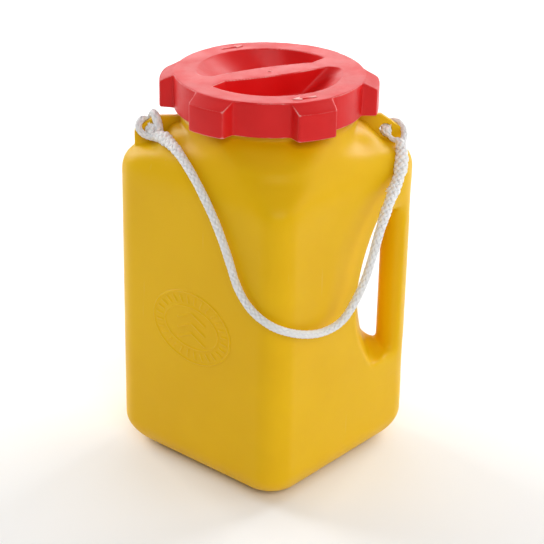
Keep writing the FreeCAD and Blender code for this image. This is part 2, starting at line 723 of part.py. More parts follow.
cap_thread = thread("cap_thread", "neck_thread_start - 1", "135", "skirt_inside + 0.4",
                    "skirt_inside - thread_depth")


# plain raised arrows on the rim of the cap: outline along and aside of the way that they point
ARROW_OUTLINE = [(-10, -1.1), (3, -1.1), (3, -3.2), (10, 0), (3, 3.2), (3, 1.1), (-10, 1.1)]
ARROW_SUNK = 0.5
ARROW_RELIEF = 0.6


def arrow(name, direction):
    """Arrow at a direction from the cap's middle, pointing the way the cap opens."""
    level = "cap_top - %g" % ARROW_SUNK
    sketch = make("Sketcher::SketchObject", name + "_outline", Placement__Base__z=level)
    edges = polygon(sketch, [Vector(along, aside, 0) for along, aside in ARROW_OUTLINE])
    for edge, (along, aside) in zip(edges, ARROW_OUTLINE):
        sketch.addConstraint(Sketcher.Constraint("DistanceX", -1, 1, edge, 1, along))
        sketch.addConstraint(Sketcher.Constraint("DistanceY", -1, 1, edge, 1, aside))
    facing = Rotation(Vector(0, 0, 1), direction + 90)
    middle = Vector(value_of("arrow_radius"), 0, value_of(level))
    sketch.Placement = Placement(Rotation(Vector(0, 0, 1), direction).multVec(middle), facing)
    return extrude(name, sketch, str(ARROW_SUNK + ARROW_RELIEF))


gate_mark = cylinder("gate_mark", "1.2", "cap_top - 1", "cap_top + 0.4")
cap_solid = fuse_all("cap_solid", [softened] + bowls + [cap_thread, gate_mark,
                                                        arrow("arrow_back", 113),
                                                        arrow("arrow_front", -71)])
cap = cut_all("cap", cap_solid, pockets + hollows)
cap.Label = "screw_cap"


# ---------------------------------------------------------------- sealing ring

gasket = doc.addObject("PartDesign::Body", "gasket")
gasket.Label = "cap_gasket"
ring_sketch = gasket.newObject("Sketcher::SketchObject", "ring_outline")
floor_plane = [plane for plane in gasket.Origin.OriginFeatures if plane.Role == "XY_Plane"][0]
ring_sketch.AttachmentSupport = [(floor_plane, "")]
ring_sketch.MapMode = "FlatFace"
bind(ring_sketch, AttachmentOffset__Base__z="rim_height")
for radius in ("gasket_inside", "gasket_outside"):
    circle = Part.Circle(Vector(), Vector(0, 0, 1), value_of(radius))
    edge = ring_sketch.addGeometry(circle)
    ring_sketch.addConstraint(Sketcher.Constraint("Coincident", edge, 3, -1, 1))
    hold(ring_sketch, radius, "Radius", edge)
ring_pad = gasket.newObject("PartDesign::Pad", "ring_pad")
ring_pad.Profile = ring_sketch
bind(ring_pad, Length="cap_top - cap_plate - rim_height")


# ---------------------------------------------------------------- rope lanyard

# The rope hangs over the front of the body from one lug to the other. It lies on the left
# face, goes round the front corner, and stands off the right face in a free curve.
LEFT_SPLICE = [(-97.5, -7.6, 283), (-91, -9.6, 279.8), (-83.9, -17.1, 278.6), (-80, -27, 278)]
ROPE = [
    (-80, -27, 278), (-73.5, -43.5, 277), (-62, -65.5, 264.5), (-52, -81.5, 248),
    (-44.5, -89.5, 232), (-36, -98, 208), (-30.5, -103.5, 188), (-20.5, -113.5, 173),
    (-6, -125, 165), (8.5, -124.5, 159), (23, -113, 151), (38, -98, 145), (53.5, -88, 148.5),
    (63.5, -85, 164.5), (72, -81.5, 184), (77.5, -78, 204), (82.5, -71.5, 220.5),
    (91, -54.5, 235.5), (97, -42.5, 243.5)]
RIGHT_SPLICE = [
    (97, -42.5, 243.5), (101.5, -33.5, 249.5), (104.5, -25.5, 266), (102.4, -8.8, 277.4)]


def rounded_path(name, points):
    """Straight runs joined by tangent arcs, each as large as its two runs allow."""
    corners = [Vector(*point) for point in points]
    edges = []
    here = corners[0]
    for before, corner, after in zip(corners, corners[1:], corners[2:]):
        back = (before - corner).normalize()
        ahead = (after - corner).normalize()
        half_turn = (math.pi - back.getAngle(ahead)) / 2
        cut = 0.45 * min(corner.distanceToPoint(before), corner.distanceToPoint(after))
        radius = cut / math.tan(half_turn)
        start, end = corner + back * cut, corner + ahead * cut
        inward = (back + ahead).normalize()
        peak = corner + inward * (radius / math.cos(half_turn) - radius)
        edges += [Part.LineSegment(here, start), Part.Arc(start, peak, end)]
        here = end
        print("%s: arc radius %.1f, turn %.0f degrees" % (
            name, radius, math.degrees(2 * half_turn)))
    edges.append(Part.LineSegment(here, corners[-1]))
    path = doc.addObject("Part::Feature", name)
    path.Shape = Part.Wire([edge.toShape() for edge in edges])
    return path


def tube(name, points, radius):
    """Round rope solid along a rounded path."""
    path = rounded_path(name + "_path", points)
    start = Vector(*points[0])
    heading = Vector(*points[1]) - start
    section = make("Part::Circle", name + "_section", Radius=radius)
    section.Placement = Placement(start, Rotation(Vector(0, 0, 1), heading))
    solid = doc.addObject("Part::Sweep", name)
    solid.Sections = [section]
    solid.Spine = (path, ["Edge%d" % (k + 1) for k in range(len(path.Shape.Edges))])
    solid.Solid = True
    solid.Frenet = False
    expected = math.pi * value_of(radius) ** 2 * path.Shape.Length
    return solid, expected, path.Shape.Length


def eye(name, middle, radius, lean):
    """Ring of rope through a lug hole; lean is its tilt about the Y axis in degrees."""
    ring = make("Part::Torus", name, Radius1=radius, Radius2="eye_rope_radius")
    ring.Placement = Placement(Vector(*middle), Rotation(Vector(0, 1, 0), lean))
    return ring


rope, rope_volume, rope_length = tube("rope", ROPE, "rope_radius")
rope.Label = "lanyard_rope"
left_splice, left_volume, left_length = tube("left_splice", LEFT_SPLICE, "splice_radius")
right_splice, right_volume, right_length = tube("right_splice", RIGHT_SPLICE, "splice_radius")
# each ring passes through its lug hole and round the sloping edge of the lug
left_eye = combine("Part::Fuse", "left_eye", left_splice,
                   eye("left_ring", (-97.2, 0, 283.2), "left_eye_radius", 57))
left_eye.Label = "left_eye_splice"
right_eye = combine("Part::Fuse", "right_eye", right_splice,
                    eye("right_ring", (101.7, 0, 279), "right_eye_radius", -10))
right_eye.Label = "right_eye_splice"


# ---------------------------------------------------------------- check and write

SUB_PARTS = [container, cap, gasket, rope, left_eye, right_eye]

doc.recompute()
for thing in doc.Objects:
    failed = {"Invalid", "Error"} & set(thing.State)
    if failed:
        raise RuntimeError("%s failed to compute" % thing.Name)
for solid, expected, length in ((rope, rope_volume, rope_length),
                                (left_splice, left_volume, left_length),
                                (right_splice, right_volume, right_length)):
    ratio = solid.Shape.Volume / expected
    print("%s: %.1f mm long, volume %.3f of section times length" % (solid.Name, length, ratio))
    if abs(ratio - 1) > 0.02:
        raise RuntimeError("%s is not a clean tube" % solid.Name)

os.makedirs("parts", exist_ok=True)
for sub_part in SUB_PARTS:
    shape = sub_part.Shape
    if shape.isNull() or not shape.isValid() or len(shape.Solids) != 1:
        raise RuntimeError("%s is not one valid solid" % sub_part.Label)
    shape.exportStep("parts/%s.step" % sub_part.Label)
    print("%s: %.0f cubic mm" % (sub_part.Label, shape.Volume))
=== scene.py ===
import math

import bmesh
import bpy
import numpy as np
from mathutils import Matrix, Quaternion, Vector


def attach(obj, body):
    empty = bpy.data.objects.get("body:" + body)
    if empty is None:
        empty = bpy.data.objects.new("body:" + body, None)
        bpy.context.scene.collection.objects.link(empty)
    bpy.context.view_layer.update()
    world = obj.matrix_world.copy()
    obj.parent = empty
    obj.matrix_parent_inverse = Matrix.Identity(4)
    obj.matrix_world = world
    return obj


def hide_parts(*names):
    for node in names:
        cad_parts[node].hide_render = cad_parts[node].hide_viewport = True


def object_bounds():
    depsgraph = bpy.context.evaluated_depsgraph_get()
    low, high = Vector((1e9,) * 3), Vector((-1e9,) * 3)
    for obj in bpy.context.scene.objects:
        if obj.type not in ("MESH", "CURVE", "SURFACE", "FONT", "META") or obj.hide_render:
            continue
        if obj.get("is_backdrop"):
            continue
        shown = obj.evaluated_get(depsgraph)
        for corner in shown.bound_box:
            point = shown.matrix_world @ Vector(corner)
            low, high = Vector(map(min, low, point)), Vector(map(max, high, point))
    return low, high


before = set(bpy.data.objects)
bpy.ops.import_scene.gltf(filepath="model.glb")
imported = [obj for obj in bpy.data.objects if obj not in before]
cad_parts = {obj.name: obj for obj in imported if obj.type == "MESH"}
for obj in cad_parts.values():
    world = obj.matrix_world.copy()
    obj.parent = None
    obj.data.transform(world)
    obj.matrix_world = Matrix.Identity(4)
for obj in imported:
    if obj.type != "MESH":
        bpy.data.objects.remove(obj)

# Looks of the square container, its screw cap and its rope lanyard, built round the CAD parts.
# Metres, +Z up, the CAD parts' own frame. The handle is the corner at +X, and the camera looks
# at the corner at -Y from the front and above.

SIZES = {"cad": [list(corner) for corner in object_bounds()]}
MM = 0.001


# ---------------------------------------------------------------- camera

def aim_camera():
    """A long lens, a little left of the front corner and above it, turned by a slight roll."""
    azimuth, elevation, roll = (math.radians(angle) for angle in (-4.80, 25.14, 1.16))
    target = Vector((0.00504, 0, 0.15192))
    distance = 1.45972
    back = Vector((math.sin(azimuth) * math.cos(elevation),
                   -math.cos(azimuth) * math.cos(elevation), math.sin(elevation)))
    data = bpy.data.cameras.new("camera")
    data.sensor_width = 36
    data.lens = 116.96
    camera = bpy.data.objects.new("camera", data)
    bpy.context.scene.collection.objects.link(camera)
    camera.location = target + back * distance
    camera.rotation_mode = "QUATERNION"
    camera.rotation_quaternion = (-back).to_track_quat("-Z", "Y") @ Quaternion((0, 0, 1), roll)
    bpy.context.scene.camera = camera


aim_camera()


# ---------------------------------------------------------------- helpers

def add_object(name, mesh):
    """New object of a mesh, shaded smooth."""
    mesh.shade_smooth()
    thing = bpy.data.objects.new(name, mesh)
    bpy.context.scene.collection.objects.link(thing)
    return thing


def mesh_from(name, points, faces):
    """Mesh of numpy points and faces."""
    mesh = bpy.data.meshes.new(name)
    mesh.from_pydata([tuple(point) for point in points], [], [tuple(face) for face in faces])
    mesh.update()
    return mesh


def cleaned(mesh, turn_out=True):
    """Takes out points that no face uses, and turns a closed mesh's faces outwards."""
    work = bmesh.new()
    work.from_mesh(mesh)
    loose = [point for point in work.verts if not point.link_faces]
    bmesh.ops.delete(work, geom=loose, context="VERTS")
    if turn_out:
        bmesh.ops.recalc_face_normals(work, faces=work.faces)
    work.to_mesh(mesh)
    work.free()
    return mesh


def points_of(mesh):
    """A mesh's vertices as a numpy array."""
    points = np.empty(len(mesh.vertices) * 3, np.float32)
    mesh.vertices.foreach_get("co", points)
    return points.reshape(-1, 3).astype(float)


def put_points(mesh, points):
    """Moves a mesh's vertices to a numpy array's places."""
    mesh.vertices.foreach_set("co", points.ravel())
    mesh.update()


def smoothstep(value, low, high):
    """0 below low, 1 above high, and smooth between."""
    share = np.clip((value - low) / (high - low), 0, 1)
    return share * share * (3 - 2 * share)


def band(value, low, high, fade):
    """1 from low to high, fading to 0 on both sides."""
    return smoothstep(value, low - fade, low) * (1 - smoothstep(value, high, high + fade))


class Shader:
    """Short way to build a node material round one Principled shader."""

    def __init__(self, name):
        self.material = bpy.data.materials.new(name)
        self.material.use_nodes = True
        self.tree = self.material.node_tree
        self.principled = self.tree.nodes["Principled BSDF"]
        self.place = self.add("ShaderNodeTexCoord").outputs["Object"]

    def add(self, kind, **settings):
        """New node with its settings."""
        node = self.tree.nodes.new(kind)
        for key, value in settings.items():
            setattr(node, key, value)
        return node

    def put(self, socket, value):
        """Links an output to a socket, or sets the socket's own value."""
        if isinstance(value, bpy.types.NodeSocket):
            self.tree.links.new(value, socket)
        else:
            socket.default_value = value

    def math(self, operation, *values):
        """Result of a sum, product or other operation."""
        node = self.add("ShaderNodeMath", operation=operation)
        for socket, value in zip(node.inputs, values):
            self.put(socket, value)
        return node.outputs[0]

    def noise(self, scale, detail=3.0, stretch=(1, 1, 1), shift=(0, 0, 0), roughness=0.55):
        """Noise over the object; a stretch below 1 draws it out along that axis."""
        mapping = self.add("ShaderNodeMapping")
        self.put(mapping.inputs["Vector"], self.place)
        mapping.inputs["Scale"].default_value = stretch
        mapping.inputs["Location"].default_value = shift
        noise = self.add("ShaderNodeTexNoise")
        self.put(noise.inputs["Vector"], mapping.outputs[0])
        noise.inputs["Scale"].default_value = scale
        noise.inputs["Detail"].default_value = detail
        noise.inputs["Roughness"].default_value = roughness
        return noise.outputs["Fac"]

    def between(self, value, low, high, to_low=0.0, to_high=1.0):
        """Maps low..high to to_low..to_high, held at both ends."""
        node = self.add("ShaderNodeMapRange", interpolation_type="SMOOTHSTEP")
        self.put(node.inputs["Value"], value)
        node.inputs["From Min"].default_value = low
        node.inputs["From Max"].default_value = high
        node.inputs["To Min"].default_value = to_low
        node.inputs["To Max"].default_value = to_high
        return node.outputs["Result"]

    def mix(self, share, first, second):
        """Colour between first and second."""
        node = self.add("ShaderNodeMix", data_type="RGBA")
        self.put(node.inputs["Factor"], share)
        self.put(node.inputs[6], first if isinstance(first, bpy.types.NodeSocket) else (*first, 1))
        self.put(node.inputs[7], second if isinstance(second, bpy.types.NodeSocket) else (*second, 1))
        return node.outputs[2]

    def bump(self, height, distance, strength=1.0, under=None):
        """Normal of a height pattern, laid over another bump's normal."""
        node = self.add("ShaderNodeBump")
        self.put(node.inputs["Height"], height)
        node.inputs["Distance"].default_value = distance
        node.inputs["Strength"].default_value = strength
        if under is not None:
            self.put(node.inputs["Normal"], under)
        return node.outputs["Normal"]

    def finish(self, **sockets):
        """Sets the Principled shader's sockets, whose names have _ for a space."""
        for name, value in sockets.items():
            self.put(self.principled.inputs[name.replace("_", " ")], value)
        return self.material


# ---------------------------------------------------------------- materials

def body_plastic():
    """Satin yellow polyethylene: a slight orange peel, faint scuffs, and convex edges made paler by a
    painted highlight.
    """
    shader = Shader("body_plastic")
    patches = shader.noise(9, detail=4)
    grain = shader.noise(1100, detail=2)
    waves = shader.noise(45, detail=2, stretch=(1, 1, 0.35))
    scratch = shader.between(shader.noise(260, detail=1, stretch=(1, 1, 0.06), shift=(3, 1, 2)),
                             0.70, 0.76)
    patch = shader.between(shader.noise(14, detail=2, shift=(7, 2, 5)), 0.55, 0.70)
    scuff = shader.math("MULTIPLY", scratch, patch)
    colour = shader.mix(shader.between(patches, 0.35, 0.65), (0.80, 0.46, 0.001),
                        (0.84, 0.495, 0.002))
    # painted highlight: convex edges are lightened toward pale yellow by pointiness
    edge = shader.between(shader.add("ShaderNodeNewGeometry").outputs["Pointiness"],
                          0.53, 0.62, 0, 0.12)
    colour = shader.mix(edge, colour, (0.92, 0.68, 0.12))
    colour = shader.mix(shader.math("MULTIPLY", scuff, 0.15), colour, (0.94, 0.80, 0.40))
    rough = shader.between(shader.noise(30, detail=5, shift=(1, 4, 2)), 0.3, 0.7, 0.36, 0.44)
    rough = shader.math("ADD", rough, shader.math("MULTIPLY", scuff, 0.2))
    normal = shader.bump(waves, 0.6 * MM, 0.25)
    normal = shader.bump(grain, 0.06 * MM, 0.5, under=normal)
    return shader.finish(Base_Color=colour, Roughness=rough, Normal=normal, IOR=1.5,
                         Specular_IOR_Level=0.16, Subsurface_Weight=0.12,
                         Subsurface_Radius=(1, 0.5, 0.02), Subsurface_Scale=2.5 * MM)


def cap_plastic():
    """Satin red polyethylene whose raised edges carry a patchy painted highlight, pale pink glints.
    """
    shader = Shader("cap_plastic")
    patches = shader.noise(25, detail=3)
    colour = shader.mix(shader.between(patches, 0.35, 0.65), (0.68, 0.005, 0.005),
                        (0.74, 0.008, 0.008))
    # painted highlight: convex edges, broken up by noise, are turned pale pink as glints
    point = shader.add("ShaderNodeNewGeometry").outputs["Pointiness"]
    broken = shader.between(shader.noise(24, detail=6, roughness=0.65), 0.40, 0.62)
    painted_edge_glint = shader.math("MULTIPLY", shader.between(point, 0.515, 0.556), broken)
    colour = shader.mix(shader.math("MULTIPLY", painted_edge_glint, 0.9), colour, (0.97, 0.56, 0.52))
    rough = shader.between(shader.noise(60, detail=5, shift=(4, 1, 2)), 0.3, 0.7, 0.34, 0.46)
    normal = shader.bump(shader.noise(70, detail=2), 0.4 * MM, 0.2)
    normal = shader.bump(shader.noise(1500, detail=2), 0.05 * MM, 0.5, under=normal)
    return shader.finish(Base_Color=colour, Roughness=rough, Normal=normal, IOR=1.5,
                         Specular_IOR_Level=0.32, Subsurface_Weight=0.08,
                         Subsurface_Radius=(1, 0.05, 0.05), Subsurface_Scale=2 * MM)


def seal_rubber():
    """Black rubber with a dusty bloom."""
    shader = Shader("seal_rubber")
    bloom = shader.noise(180, detail=5)
    colour = shader.mix(shader.between(bloom, 0.4, 0.8), (0.018, 0.018, 0.019), (0.05, 0.05, 0.05))
    normal = shader.bump(shader.noise(1800), 0.05 * MM, 0.6)
    return shader.finish(Base_Color=colour, Roughness=0.62, Normal=normal)


def rope_yarn():
    """White yarn: fine fibres along each strand, with painted shade greying the gaps between strands.
    """
    shader = Shader("rope_yarn")
    shader.place = shader.add("ShaderNodeUVMap").outputs["UV"]
    fibre = shader.noise(60, detail=3, stretch=(9, 1, 1))
    tone = shader.noise(7, detail=2, shift=(3, 3, 0))
    colour = shader.mix(shader.between(fibre, 0.3, 0.7), (0.93, 0.925, 0.915), (0.97, 0.967, 0.96))
    colour = shader.mix(shader.between(tone, 0.5, 0.75, 0, 0.3), colour, (0.91, 0.885, 0.845))
    # painted shade: concave gaps between strands, found by pointiness, are darkened into the colour
    gap = shader.between(shader.add("ShaderNodeNewGeometry").outputs["Pointiness"],
                         0.36, 0.48, 0.85, 1.0)
    shade = shader.mix(gap, (0.80, 0.78, 0.74), (1, 1, 1))
    dark = shader.add("ShaderNodeMix", data_type="RGBA", blend_type="MULTIPLY")
    dark.inputs["Factor"].default_value = 1.0
    shader.put(dark.inputs[6], colour)
    shader.put(dark.inputs[7], shade)
    normal = shader.bump(fibre, 0.25 * MM, 0.6)
    return shader.finish(Base_Color=dark.outputs[2], Roughness=0.72, Normal=normal,
                         Subsurface_Weight=0.2, Subsurface_Radius=(1, 0.9, 0.8),
                         Subsurface_Scale=1 * MM, Sheen_Weight=0.2)


MATERIALS = {"body_plastic": body_plastic(), "cap_plastic": cap_plastic(),
             "seal_rubber": seal_rubber(), "rope": rope_yarn()}


def dress(thing, slot):
    """Gives a piece the material of a slot."""
    thing.data.materials.clear()
    thing.data.materials.append(MATERIALS[slot])


# ---------------------------------------------------------------- rope lanyard

# The route's points, each with the rope's radius there in millimetres. Two turns of rope go
# through the left lug's hole, one over its top and one round its end, which runs into the splice.
LEFT_TURNS = [
    (-0.0895, -0.0075, 0.2800, 4.3), (-0.0930, -0.0050, 0.2795, 4.4), (-0.0940, 0.0005, 0.2785, 3.8),
    (-0.0940, 0.0055, 0.2815, 2.9), (-0.0925, 0.0060, 0.2880, 2.9), (-0.0910, 0.0000, 0.2930, 3.2),
    (-0.0882, -0.0054, 0.2872, 3.4), (-0.0870, -0.0080, 0.2805, 3.4), (-0.0895, -0.0078, 0.2765, 2.7),
    (-0.0922, -0.0042, 0.2762, 2.6), (-0.0940, 0.0005, 0.2768, 2.6), (-0.0952, 0.0060, 0.2795, 2.4),
    (-0.0962, 0.0058, 0.2850, 2.3), (-0.1003, 0.0014, 0.2873, 2.5), (-0.1034, -0.0042, 0.2843, 2.6),
    (-0.1030, -0.0066, 0.2805, 2.4), (-0.0985, -0.0078, 0.2762, 2.4), (-0.0925, -0.0090, 0.2757, 3.4)]
LEFT_SPLICE = [(-0.0839, -0.0171, 0.2784, 4.9)]
ROPE = [
    (-0.0800, -0.0270, 0.2780, 4.4), (-0.0735, -0.0435, 0.2770, 3.5), (-0.0620, -0.0655, 0.2645, 3.1),
    (-0.0520, -0.0815, 0.2480, 3.1), (-0.0445, -0.0895, 0.2320, 3.0), (-0.0360, -0.0980, 0.2080, 3.0),
    (-0.0305, -0.1035, 0.1880, 2.9), (-0.0205, -0.1135, 0.1730, 2.9), (-0.0060, -0.1250, 0.1650, 2.9),
    (0.0085, -0.1245, 0.1590, 2.9), (0.0230, -0.1130, 0.1510, 3.0), (0.0380, -0.0980, 0.1450, 3.0),
    (0.0535, -0.0880, 0.1485, 3.0), (0.0635, -0.0850, 0.1645, 3.1), (0.0720, -0.0815, 0.1840, 3.1),
    (0.0775, -0.0780, 0.2040, 3.2), (0.0825, -0.0715, 0.2205, 3.5), (0.0910, -0.0545, 0.2355, 3.9),
    (0.0970, -0.0425, 0.2435, 4.2)]
RIGHT_SPLICE = [(0.1015, -0.0335, 0.2495, 4.5), (0.1042, -0.0255, 0.2590, 4.7)]
# One turn through the right lug's hole, whose end is tucked back into the splice.
RIGHT_TURN = [
    (0.1052, -0.0170, 0.2660, 4.8), (0.1035, -0.0125, 0.2715, 3.6), (0.0985, -0.0098, 0.2712, 1.9),
    (0.0948, -0.0066, 0.2750, 1.6), (0.0935, -0.0010, 0.2778, 4.3), (0.0945, 0.0052, 0.2790, 3.4),
    (0.0990, 0.0068, 0.2815, 2.3), (0.1038, 0.0045, 0.2822, 2.3), (0.1075, 0.0000, 0.2795, 2.3),
    (0.1088, -0.0050, 0.2750, 2.4), (0.1072, -0.0100, 0.2715, 2.6), (0.1045, -0.0145, 0.2665, 2.6)]
ROUTE = LEFT_TURNS + LEFT_SPLICE + ROPE + RIGHT_SPLICE + RIGHT_TURN
ROPE_STEP = 0.65 * MM
CORD_RESOLUTION = 24

# where loose yarn ends stand off the rope, which way round it, and how many there are
TUFTS = [
    ((-0.0800, -0.0270, 0.2780), 200, 5), ((-0.0860, -0.0150, 0.2784), 20, 4),
    ((-0.0930, -0.0050, 0.2795), 260, 6), ((0.0935, -0.0010, 0.2778), 250, 4),
    ((0.0935, -0.0010, 0.2778), 40, 4), ((0.0950, -0.0450, 0.2410), 200, 4),
    ((0.1030, -0.0290, 0.2550), 20, 4), ((0.1045, -0.0200, 0.2630), 200, 3)]
TUFT_STEPS = 6
TUFT_SIDES = 5
TUFT_SEED = 7


def smooth_line(name, points):
    """Points close together down a NURBS curve through a route."""
    curve = bpy.data.curves.new(name, "CURVE")
    curve.dimensions = "3D"
    curve.resolution_u = CORD_RESOLUTION
    spline = curve.splines.new("NURBS")
    spline.points.add(len(points) - 1)
    for point, place in zip(spline.points, points):
        point.co = (*place[:3], 1)
    spline.order_u = 3
    spline.use_endpoint_u = True
    holder = bpy.data.objects.new(name, curve)
    mesh = bpy.data.meshes.new_from_object(holder)
    line = points_of(mesh)
    bpy.data.objects.remove(holder)
    bpy.data.curves.remove(curve)
    return line


def spaced(line, step):
    """The same line with its points a step apart, and their distances along it."""
    along = np.concatenate([[0], np.cumsum(np.linalg.norm(np.diff(line, axis=0), axis=1))])
    at = np.linspace(0, along[-1], int(along[-1] / step) + 1)
    return np.stack([np.interp(at, along, line[:, k]) for k in range(3)], axis=1), at


def carried_frames(line):
    """Directions along, beside and above a line, carried down it without twisting."""
    along = np.gradient(line, axis=0)
    along /= np.linalg.norm(along, axis=1)[:, None]
    beside = np.empty_like(line)
    start = np.cross(along[0], (0, 0, 1))
    beside[0] = start / np.linalg.norm(start)
    for k in range(1, len(line)):
        carried = beside[k - 1] - along[k] * (beside[k - 1] @ along[k])
        beside[k] = carried / np.linalg.norm(carried)
    return along, beside, np.cross(along, beside)


def rope_radius(line, at):
    """Radius along the line: that of its route's points, and lumpy where it is fat."""
    steps = np.linspace(0, len(ROUTE) - 1, len(line))
    along = np.concatenate([[0], np.cumsum(np.linalg.norm(np.diff(line, axis=0), axis=1))])
    step_at = np.interp(at, along, steps)
    radius = np.interp(step_at, np.arange(len(ROUTE)), [point[3] * MM for point in ROUTE])
    wave = np.sin(at / (2.3 * MM)) * np.sin(at / (5.3 * MM) + 1) + 0.6 * np.sin(at / (3.7 * MM) + 2)
    return radius * (1 + (0.02 + 0.06 * spliced(radius)) * wave)


def spliced(radius):
    """How much of the rope's tail is tucked inside it: 0 in the plain rope, 1 in a splice."""
    return smoothstep(radius, 3.3 * MM, 4.5 * MM)


def braid(name, line, at, radius):
    """Hollow braid of flat yarns that pass over and under each other, round a core."""
    per_side, lay, corners = 5, 30 * MM, 6
    along, beside, above = carried_frames(line)
    yarn_thick = (0.12 + 0.11 * spliced(radius)) * radius
    turn = 2 * math.pi * np.arange(corners) / corners
    points, faces, fibres = [], [], []

    def add_tube(rings, across, length_at):
        """Adds one closed tube; across and length_at give its fibres their texture places."""
        base = sum(len(part) for part in points)
        points.append(rings.reshape(-1, 3))
        count, sides = rings.shape[0], rings.shape[1]
        for ring in range(count - 1):
            low, high = base + ring * sides, base + (ring + 1) * sides
            for side in range(sides):
                after = (side + 1) % sides
                faces.append((low + side, low + after, high + after, high + side))
                low_at, high_at = length_at[ring], length_at[ring + 1]
                fibres.append([(side + across, low_at), (side + 1 + across, low_at),
                               (side + 1 + across, high_at), (side + across, high_at)])
        for ring, order in ((0, range(sides - 1, -1, -1)), (count - 1, range(sides))):
            faces.append(tuple(base + ring * sides + side for side in order))
            fibres.append([(side + across, length_at[ring]) for side in order])

    for sense in (1, -1):
        for strand in range(per_side):
            angle = sense * 2 * math.pi * at / lay + 2 * math.pi * strand / per_side
            crossing = 2 * per_side * at / lay + sense * strand
            lift = sense * yarn_thick * np.cos(math.pi * (crossing + strand))
            out = np.cos(angle)[:, None] * beside + np.sin(angle)[:, None] * above
            middle = line + out * (radius - 1.1 * yarn_thick + lift * 0.9)[:, None]
            heading = np.gradient(middle, axis=0)
            heading /= np.linalg.norm(heading, axis=1)[:, None]
            wide = np.cross(heading, out)
            wide /= np.linalg.norm(wide, axis=1)[:, None]
            proud = np.cross(wide, heading)
            half_width = 0.47 * 2 * math.pi * radius / per_side * np.abs((heading * along).sum(1))
            rings = (middle[:, None, :]
                     + wide[:, None, :] * (half_width[:, None] * np.cos(turn))[:, :, None]
                     + proud[:, None, :] * (yarn_thick[:, None] * np.sin(turn))[:, :, None])
            add_tube(rings, 10 * (strand + per_side * (sense > 0)), at / MM * 0.6)
    sides = 10
    turn = 2 * math.pi * np.arange(sides) / sides
    core = radius - 2.1 * yarn_thick
    rings = (line[:, None, :]
             + beside[:, None, :] * (core[:, None] * np.cos(turn))[:, :, None]
             + above[:, None, :] * (core[:, None] * np.sin(turn))[:, :, None])
    add_tube(rings, 200, at / MM * 0.6)
    mesh = mesh_from(name, np.concatenate(points), faces)
    layer = mesh.uv_layers.new(name="fibres")
    corners_at = np.array([corner for face in fibres for corner in face])
    layer.data.foreach_set("uv", corners_at.ravel() * 0.05)
    return mesh


def tufts(line, radius, chance):
    """Short loose yarn ends that stand off the rope at a few places along it."""
    along, beside, above = carried_frames(line)
    points, faces = [], []
    sides = TUFT_SIDES
    for place, turn, count in TUFTS:
        middle = nearest_index(line, place)
        ahead = along[middle]
        for _ in range(count):
            angle = math.radians(turn) + chance.normal(0, 0.5)
            out = math.cos(angle) * beside[middle] + math.sin(angle) * above[middle]
            across = np.cross(out, ahead)
            lean = ahead * chance.normal(0, 0.5)
            root = line[middle] + ahead * chance.normal(0, 1.2 * MM) + out * radius[middle] * 0.7
            reach, thick = chance.uniform(2.2, 3.6) * MM, chance.uniform(0.45, 0.7) * MM
            curl = across * chance.normal(0, 0.4)
            start = len(points)
            for step in range(TUFT_STEPS):
                share = step / (TUFT_STEPS - 1)
                centre = root + (out + lean * share + curl * share ** 2) * reach * share
                size = thick * (1 - 0.75 * share ** 2)
                base = len(points)
                for side in range(sides):
                    around = 2 * math.pi * side / sides
                    points.append(centre + size * (math.cos(around) * ahead
                                                   + math.sin(around) * across))
                    if step:
                        after = (side + 1) % sides
                        faces.append((base - sides + side, base - sides + after,
                                      base + after, base + side))
            faces.append(tuple(range(len(points) - sides, len(points))))
            faces.append(tuple(range(start + sides - 1, start - 1, -1)))
    return cleaned(mesh_from("yarn_ends", points, faces))


def nearest_index(line, place):
    """Number of the line's point that lies nearest to a place."""
    return int(np.linalg.norm(line - np.array(place), axis=1).argmin())


def rope_lanyard():
    """The whole rope, from the left lug to the right one, and its loose yarn ends."""
    smooth = smooth_line("lanyard_route", ROUTE)
    line, at = spaced(smooth, ROPE_STEP)
    radius = rope_radius(smooth, at)
    piece = add_object("lanyard_braid", braid("lanyard_braid", line, at, radius))
    dress(piece, "rope")
    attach(piece, "container")
    ends = add_object("lanyard_yarn_ends", tufts(line, radius, np.random.default_rng(TUFT_SEED)))
    dress(ends, "rope")
    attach(ends, "container")
    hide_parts("lanyard_rope", "left_eye_splice", "right_eye_splice")


rope_lanyard()


# ---------------------------------------------------------------- moulded parts

def remeshed(name, node, voxel, prepare):
    """Copy of a CAD part's mesh made of even small faces."""
    thing = bpy.data.objects.new(name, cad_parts[node].data.copy())
    bpy.context.scene.collection.objects.link(thing)
    prepare(thing)
    remesh = thing.modifiers.new("remesh", "REMESH")
    remesh.mode = "VOXEL"
    remesh.voxel_size = voxel
    bake_modifiers(thing)
    return thing


def bake_modifiers(thing):
    """Replaces an object's mesh by what its modifiers make of it."""
    evaluated = thing.evaluated_get(bpy.context.evaluated_depsgraph_get())
    mesh = bpy.data.meshes.new_from_object(evaluated)
    thing.modifiers.clear()
    thing.data = mesh


def relaxed(thing, weights, passes):
    """Rounds edges off, more where the weight is higher."""
    levels = 20
    group = thing.vertex_groups.new(name="rounding")
    steps = np.round(weights * levels).astype(int)
    for step in range(1, levels + 1):
        found = np.nonzero(steps == step)[0]
        if len(found):
            group.add(found.tolist(), step / levels, "REPLACE")
    smooth = thing.modifiers.new("smooth", "SMOOTH")
    smooth.factor = 0.5
    smooth.iterations = passes
    smooth.vertex_group = group.name
    bake_modifiers(thing)
    thing.vertex_groups.clear()


def thinned(thing, share):
    """Merges the small faces where the surface is nearly flat."""
    decimate = thing.modifiers.new("decimate", "DECIMATE")
    decimate.ratio = share
    bake_modifiers(thing)


